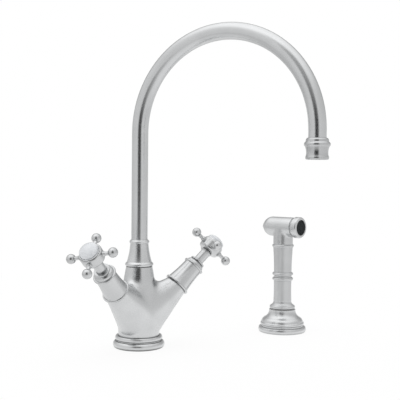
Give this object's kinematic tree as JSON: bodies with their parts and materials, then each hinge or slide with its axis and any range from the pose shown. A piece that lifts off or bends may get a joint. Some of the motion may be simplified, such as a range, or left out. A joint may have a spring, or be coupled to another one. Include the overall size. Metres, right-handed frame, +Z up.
{
  "type": "kitchen faucet",
  "caption": "Deck-mounted kitchen mixer with cross handles, a high swivel spout and a hand spray standing in its own deck flange.",
  "frame": {"origin": "centre of the mixer's foot ring on the deck", "axes": "+Z up from the deck; -Y towards the user; +X to the user's right, where the hand spray stands"},
  "size_m": [0.3575, 0.2676, 0.389],
  "materials": {
    "satin_nickel": "brushed nickel plate on brass",
    "porcelain": "white glaze",
    "disc_ceramic": "lapped",
    "rubber": "matt",
    "raw_brass": "machined",
    "stainless": "plain",
    "moulded_plastic": "moulded",
    "black_face": "moulded, slightly glossy"
  },
  "bodies": {
    "fixed": {"base_ring": "satin_nickel", "deck_gasket": "rubber", "body_casting": "satin_nickel", "port_plate": "raw_brass", "swivel_bush": "moulded_plastic", "spout_lock_screw": "stainless", "diverter_sleeve": "moulded_plastic", "bonnet_hot": "satin_nickel", "valve_body_hot": "raw_brass", "seat_seal_hot": "rubber", "fixed_disc_hot": "disc_ceramic", "bonnet_cold": "satin_nickel", "valve_body_cold": "raw_brass", "seat_seal_cold": "rubber", "fixed_disc_cold": "disc_ceramic", "spray_flange": "satin_nickel", "flange_gasket": "rubber", "flange_screw": "stainless"},
    "hot_handle": {"handle_hot": "satin_nickel", "button_ring_hot": "satin_nickel", "porcelain_hot": "porcelain", "handle_screw_hot": "stainless", "spindle_hot": "raw_brass", "spindle_seals_hot": "rubber", "moving_disc_hot": "disc_ceramic", "spindle_clip_hot": "stainless"},
    "cold_handle": {"handle_cold": "satin_nickel", "button_ring_cold": "satin_nickel", "porcelain_cold": "porcelain", "handle_screw_cold": "stainless", "spindle_cold": "raw_brass", "spindle_seals_cold": "rubber", "moving_disc_cold": "disc_ceramic", "spindle_clip_cold": "stainless"},
    "spout": {"spout_tube": "satin_nickel", "spout_collar": "satin_nickel", "spout_spigot": "raw_brass", "spout_seals": "rubber", "nozzle": "satin_nickel", "aerator_shell": "satin_nickel", "aerator_screen": "moulded_plastic", "aerator_washer": "rubber"},
    "diverter": {"diverter_piston": "moulded_plastic"},
    "spray_socket": {"spray_guide": "moulded_plastic"},
    "hand_spray": {"spray_grip": "satin_nickel", "spray_head": "satin_nickel", "spray_nozzle_cap": "satin_nickel", "spray_face": "black_face", "hose_connector": "raw_brass", "connector_seal": "rubber", "stem_seal": "rubber", "button_spring": "stainless"},
    "push_button": {"spray_button": "satin_nickel", "spray_valve": "raw_brass", "valve_seal": "rubber"}
  },
  "joints": [
    {"name": "spout_swivel", "type": "hinge", "parent": "fixed", "child": "spout", "pos_m": [0, 0, 0.1002], "axis": [0, 0, 1], "continuous": true},
    {"name": "hot_valve_turn", "type": "hinge", "parent": "fixed", "child": "hot_handle", "pos_m": [-0.09323, -0.03065, 0.12084], "axis": [-0.681, -0.2239, 0.6972], "range_deg": [0, 90]},
    {"name": "cold_valve_turn", "type": "hinge", "parent": "fixed", "child": "cold_handle", "pos_m": [0.09323, -0.03065, 0.12084], "axis": [-0.681, 0.2239, -0.6972], "range_deg": [0, 90]},
    {"name": "diverter_lift", "type": "slide", "parent": "fixed", "child": "diverter", "axis": [0, 0, 1], "range_m": [0, 0.0025]},
    {"name": "spray_turn", "type": "hinge", "parent": "fixed", "child": "spray_socket", "pos_m": [0.2112, -0.0497, 0.0302], "axis": [0, 0, 1], "continuous": true},
    {"name": "spray_lift", "type": "slide", "parent": "spray_socket", "child": "hand_spray", "axis": [0, 0, 1], "range_m": [0, 0.06]},
    {"name": "spray_button_press", "type": "slide", "parent": "hand_spray", "child": "push_button", "axis": [0.1045, -0.9945, 0], "range_m": [0, 0.004], "stiffness_N_per_m": 500, "springref_m": -0.006, "deforming": ["button_spring"]}
  ]
}
